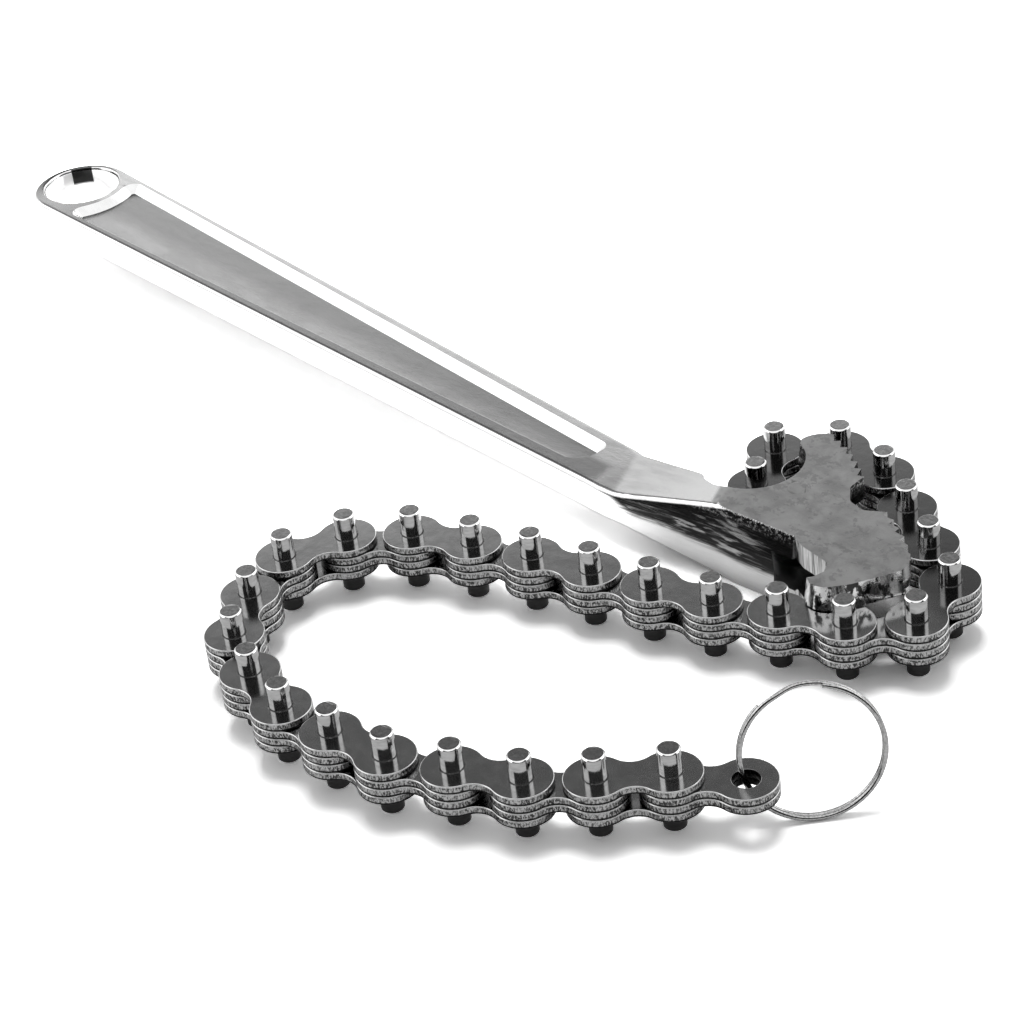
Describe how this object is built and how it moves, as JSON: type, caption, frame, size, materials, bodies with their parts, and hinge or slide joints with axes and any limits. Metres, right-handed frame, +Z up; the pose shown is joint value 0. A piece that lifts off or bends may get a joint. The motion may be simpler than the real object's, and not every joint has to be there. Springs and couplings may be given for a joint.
{
  "type": "chain pipe wrench",
  "caption": "Forged wrench with a forked toothed jaw and a leaf chain that wraps a pipe, hooks back by its long pins in the jaw's notch and ends in a split ring.",
  "frame": {"origin": "middle of the footprint of the whole wrench as it lies with its chain, on the surface it lies on", "axes": "+X along the handle towards the jaw, +Y to the side of the handle away from the loop of chain, +Z up, across the jaw's thickness"},
  "size_m": [0.372, 0.1696, 0.0315],
  "materials": {
    "plated_forging": "satin plated forging",
    "chain_plate": "dark blackened plate with sheared edges",
    "chain_pin": "bright turned pin",
    "ring_wire": "polished wire"
  },
  "bodies": {
    "wrench": {"wrench_body": "plated_forging", "anchor_pin": "plated_forging"},
    "anchor_link": {"anchor_link_plates": "chain_plate"},
    "outer_link_01": {"outer_link_01_plates": "chain_plate", "outer_link_01_pins": "chain_pin"},
    "inner_link_01": {"inner_link_01_plates": "chain_plate"},
    "outer_link_02": {"outer_link_02_plates": "chain_plate", "outer_link_02_pins": "chain_pin"},
    "inner_link_02": {"inner_link_02_plates": "chain_plate"},
    "outer_link_03": {"outer_link_03_plates": "chain_plate", "outer_link_03_pins": "chain_pin"},
    "inner_link_03": {"inner_link_03_plates": "chain_plate"},
    "outer_link_04": {"outer_link_04_plates": "chain_plate", "outer_link_04_pins": "chain_pin"},
    "inner_link_04": {"inner_link_04_plates": "chain_plate"},
    "outer_link_05": {"outer_link_05_plates": "chain_plate", "outer_link_05_pins": "chain_pin"},
    "inner_link_05": {"inner_link_05_plates": "chain_plate"},
    "outer_link_06": {"outer_link_06_plates": "chain_plate", "outer_link_06_pins": "chain_pin"},
    "inner_link_06": {"inner_link_06_plates": "chain_plate"},
    "outer_link_07": {"outer_link_07_plates": "chain_plate", "outer_link_07_pins": "chain_pin"},
    "inner_link_07": {"inner_link_07_plates": "chain_plate"},
    "outer_link_08": {"outer_link_08_plates": "chain_plate", "outer_link_08_pins": "chain_pin"},
    "inner_link_08": {"inner_link_08_plates": "chain_plate"},
    "outer_link_09": {"outer_link_09_plates": "chain_plate", "outer_link_09_pins": "chain_pin"},
    "inner_link_09": {"inner_link_09_plates": "chain_plate"},
    "outer_link_10": {"outer_link_10_plates": "chain_plate", "outer_link_10_pins": "chain_pin"},
    "inner_link_10": {"inner_link_10_plates": "chain_plate"},
    "outer_link_11": {"outer_link_11_plates": "chain_plate", "outer_link_11_pins": "chain_pin"},
    "inner_link_11": {"inner_link_11_plates": "chain_plate"},
    "outer_link_12": {"outer_link_12_plates": "chain_plate", "outer_link_12_pins": "chain_pin"},
    "inner_link_12": {"inner_link_12_plates": "chain_plate"},
    "outer_link_13": {"outer_link_13_plates": "chain_plate", "outer_link_13_pins": "chain_pin"},
    "inner_link_13": {"inner_link_13_plates": "chain_plate"},
    "outer_link_14": {"outer_link_14_plates": "chain_plate", "outer_link_14_pins": "chain_pin"},
    "ring_link": {"ring_link_plates": "chain_plate"},
    "ring": {"split_ring": "ring_wire"}
  },
  "joints": [
    {"name": "anchor_pivot", "type": "hinge", "parent": "wrench", "child": "anchor_link", "pos_m": [0.10864, 0.05155, 0.0105], "axis": [0, 0, 1], "range_deg": [-7.6, 4.2]},
    {"name": "link_pivot_01", "type": "hinge", "parent": "anchor_link", "child": "outer_link_01", "pos_m": [0.09284, 0.05302, 0.0105], "axis": [0, 0, -1], "range_deg": [-2.9, 1.2]},
    {"name": "link_pivot_02", "type": "hinge", "parent": "outer_link_01", "child": "inner_link_01", "pos_m": [0.08517, 0.06693, 0.0105], "axis": [0, 0, 1], "range_deg": [-1.2, 2.1]},
    {"name": "link_pivot_03", "type": "hinge", "parent": "inner_link_01", "child": "outer_link_02", "pos_m": [0.09687, 0.07766, 0.0105], "axis": [0, 0, -1], "range_deg": [-2.5, 3.8]},
    {"name": "link_pivot_04", "type": "hinge", "parent": "outer_link_02", "child": "inner_link_02", "pos_m": [0.11269, 0.07633, 0.0105], "axis": [0, 0, 1], "range_deg": [-2.1, 3.8]},
    {"name": "link_pivot_05", "type": "hinge", "parent": "inner_link_02", "child": "outer_link_03", "pos_m": [0.12677, 0.06899, 0.0105], "axis": [0, 0, -1], "range_deg": [-76.5, 2.1]},
    {"name": "link_pivot_06", "type": "hinge", "parent": "outer_link_03", "child": "inner_link_03", "pos_m": [0.14072, 0.0614, 0.0105], "axis": [0, 0, 1], "range_deg": [-1.7, 76.5]},
    {"name": "link_pivot_07", "type": "hinge", "parent": "inner_link_03", "child": "outer_link_04", "pos_m": [0.15445, 0.05345, 0.0105], "axis": [0, 0, -1], "range_deg": [-76.5, 1.7]},
    {"name": "link_pivot_08", "type": "hinge", "parent": "outer_link_04", "child": "inner_link_04", "pos_m": [0.15849, 0.03809, 0.0105], "axis": [0, 0, 1], "range_deg": [-2.9, 76.5]},
    {"name": "link_pivot_09", "type": "hinge", "parent": "inner_link_04", "child": "outer_link_05", "pos_m": [0.14746, 0.02667, 0.0105], "axis": [0, 0, -1], "range_deg": [-76.5, 13.6]},
    {"name": "link_pivot_10", "type": "hinge", "parent": "outer_link_05", "child": "inner_link_05", "pos_m": [0.13304, 0.02004, 0.0105], "axis": [0, 0, 1], "range_deg": [-17, 76.5]},
    {"name": "link_pivot_11", "type": "hinge", "parent": "inner_link_05", "child": "outer_link_06", "pos_m": [0.1188, 0.01301, 0.0105], "axis": [0, 0, -1], "range_deg": [-59, 20.8]},
    {"name": "link_pivot_12", "type": "hinge", "parent": "outer_link_06", "child": "inner_link_06", "pos_m": [0.10378, 0.00789, 0.0105], "axis": [0, 0, 1], "range_deg": [-25.9, 39.5]},
    {"name": "link_pivot_13", "type": "hinge", "parent": "inner_link_06", "child": "outer_link_07", "pos_m": [0.08868, 0.00299, 0.0105], "axis": [0, 0, -1], "range_deg": [-31, 34.8]},
    {"name": "link_pivot_14", "type": "hinge", "parent": "outer_link_07", "child": "inner_link_07", "pos_m": [0.07365, -0.00211, 0.0105], "axis": [0, 0, 1], "range_deg": [-48.4, 25.5]},
    {"name": "link_pivot_15", "type": "hinge", "parent": "inner_link_07", "child": "outer_link_08", "pos_m": [0.05895, -0.00811, 0.0105], "axis": [0, 0, -1], "range_deg": [-21.2, 70.9]},
    {"name": "link_pivot_16", "type": "hinge", "parent": "outer_link_08", "child": "inner_link_08", "pos_m": [0.0446, -0.01491, 0.0105], "axis": [0, 0, 1], "range_deg": [-76.5, 18.2]},
    {"name": "link_pivot_17", "type": "hinge", "parent": "inner_link_08", "child": "outer_link_09", "pos_m": [0.0336, -0.02636, 0.0105], "axis": [0, 0, -1], "range_deg": [-16.1, 76.5]},
    {"name": "link_pivot_18", "type": "hinge", "parent": "outer_link_09", "child": "inner_link_09", "pos_m": [0.02874, -0.04147, 0.0105], "axis": [0, 0, 1], "range_deg": [-76.5, 13.6]},
    {"name": "link_pivot_19", "type": "hinge", "parent": "inner_link_09", "child": "outer_link_10", "pos_m": [0.03462, -0.05622, 0.0105], "axis": [0, 0, -1], "range_deg": [-11.4, 76.5]},
    {"name": "link_pivot_20", "type": "hinge", "parent": "outer_link_10", "child": "inner_link_10", "pos_m": [0.04485, -0.06836, 0.0105], "axis": [0, 0, 1], "range_deg": [-76.5, 11.4]},
    {"name": "link_pivot_21", "type": "hinge", "parent": "inner_link_10", "child": "outer_link_11", "pos_m": [0.05942, -0.07468, 0.0105], "axis": [0, 0, -1], "range_deg": [-12.3, 76.5]},
    {"name": "link_pivot_22", "type": "hinge", "parent": "outer_link_11", "child": "inner_link_11", "pos_m": [0.07501, -0.07766, 0.0105], "axis": [0, 0, 1], "range_deg": [-76.5, 13.1]},
    {"name": "link_pivot_23", "type": "hinge", "parent": "inner_link_11", "child": "outer_link_12", "pos_m": [0.09079, -0.07593, 0.0105], "axis": [0, 0, -1], "range_deg": [-14.8, 76.5]},
    {"name": "link_pivot_24", "type": "hinge", "parent": "outer_link_12", "child": "inner_link_12", "pos_m": [0.10639, -0.073, 0.0105], "axis": [0, 0, 1], "range_deg": [-76.5, 16.5]},
    {"name": "link_pivot_25", "type": "hinge", "parent": "inner_link_12", "child": "outer_link_13", "pos_m": [0.12054, -0.0658, 0.0105], "axis": [0, 0, -1], "range_deg": [-19.5, 76.5]},
    {"name": "link_pivot_26", "type": "hinge", "parent": "outer_link_13", "child": "inner_link_13", "pos_m": [0.13457, -0.05837, 0.0105], "axis": [0, 0, 1], "range_deg": [-76.5, 25.5]},
    {"name": "link_pivot_27", "type": "hinge", "parent": "inner_link_13", "child": "outer_link_14", "pos_m": [0.14616, -0.04752, 0.0105], "axis": [0, 0, -1], "range_deg": [-38.6, 76.5]},
    {"name": "link_pivot_28", "type": "hinge", "parent": "outer_link_14", "child": "ring_link", "pos_m": [0.15661, -0.03558, 0.0105], "axis": [0, 0, 1], "range_deg": [-76.5, 76.5]},
    {"name": "ring_swing", "type": "hinge", "parent": "ring_link", "child": "ring", "pos_m": [0.16844, -0.02499, 0.0105], "axis": [0, 0, -1], "range_deg": [-95, 95]}
  ]
}
